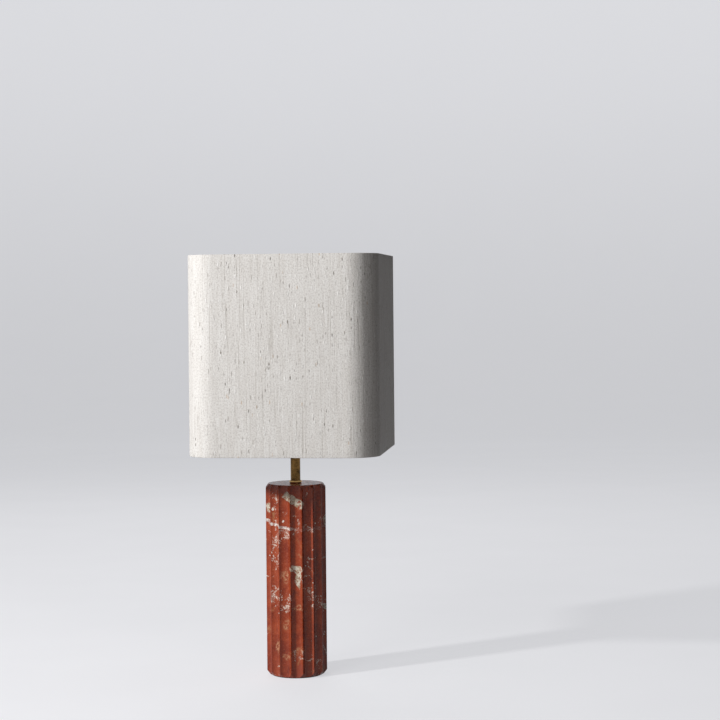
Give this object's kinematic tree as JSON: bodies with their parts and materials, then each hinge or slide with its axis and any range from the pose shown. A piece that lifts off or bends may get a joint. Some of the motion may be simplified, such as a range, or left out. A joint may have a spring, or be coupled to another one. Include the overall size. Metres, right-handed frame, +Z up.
{
  "type": "column table lamp",
  "caption": "Table lamp with a fluted stone column, a short brass stem and a square fabric shade with rounded corners on a wire carrier.",
  "frame": {"origin": "centre of the foot, on the surface that the lamp stands on", "axes": "+Z up the column, -Y towards the front of the shade, +X to its right; the cord inlet is at the back, near +Y"},
  "size_m": [0.307, 0.307, 0.6875],
  "materials": {
    "red_marble": "polished, veined",
    "felt": "wool felt",
    "dark_plastic": "moulded",
    "plated_steel": "zinc plated",
    "brass": "bright turned",
    "aged_brass": "darkened, satin",
    "porcelain": "glazed white",
    "opal_glass": "opal",
    "bulb_metal": "rolled thread",
    "dark_glass": "fused black",
    "solder": "soldered",
    "clear_glass": "clear",
    "filament": "phosphor coat",
    "white_wire": "white powder coat",
    "shade_lining": "satin white",
    "shade_silk": "slubbed silk weave"
  },
  "bodies": {
    "base": {"marble_column": "red_marble", "felt_pad": "felt", "cord_bush": "dark_plastic", "threaded_rod": "plated_steel", "clamp_washer": "plated_steel", "spring_washer": "plated_steel", "rod_nut": "plated_steel", "stem_collar": "brass", "stem_tube": "aged_brass", "holder_cap": "aged_brass", "cap_grub_screw": "plated_steel", "holder_sleeve": "aged_brass", "holder_core": "porcelain", "terminal_screws": "brass", "centre_contact": "brass", "side_contact": "brass", "screw_shell": "brass", "holder_insulator": "porcelain", "lower_shade_ring": "aged_brass", "switch_block": "dark_plastic"},
    "shade": {"shade_top_frame": "white_wire", "shade_bottom_frame": "white_wire", "shade_carrier": "white_wire", "shade_liner": "shade_lining", "shade_fabric": "shade_silk"},
    "clamp_ring": {"upper_shade_ring": "aged_brass"},
    "switch": {"switch_spindle": "brass", "switch_knob": "aged_brass"},
    "bulb": {"bulb_glass": "opal_glass", "bulb_cap": "bulb_metal", "bulb_insulator": "dark_glass", "bulb_tip": "solder", "bulb_stem": "clear_glass", "bulb_filaments": "filament"}
  },
  "joints": [
    {"name": "shade_turn", "type": "hinge", "parent": "base", "child": "shade", "pos_m": [0, 0, 0.4115], "axis": [0, 0, 1], "continuous": true},
    {"name": "clamp_ring_turn", "type": "hinge", "parent": "base", "child": "clamp_ring", "pos_m": [0, 0, 0.415], "axis": [0, 0, 1], "range_deg": [0, 1080]},
    {"name": "switch_turn", "type": "hinge", "parent": "base", "child": "switch", "pos_m": [0.0174, 0.0174, 0.3915], "axis": [0.7071, 0.7071, 0], "continuous": true},
    {"name": "bulb_turn", "type": "hinge", "parent": "base", "child": "bulb", "pos_m": [0, 0, 0.425], "axis": [0, 0, 1], "range_deg": [0, 1440]}
  ]
}
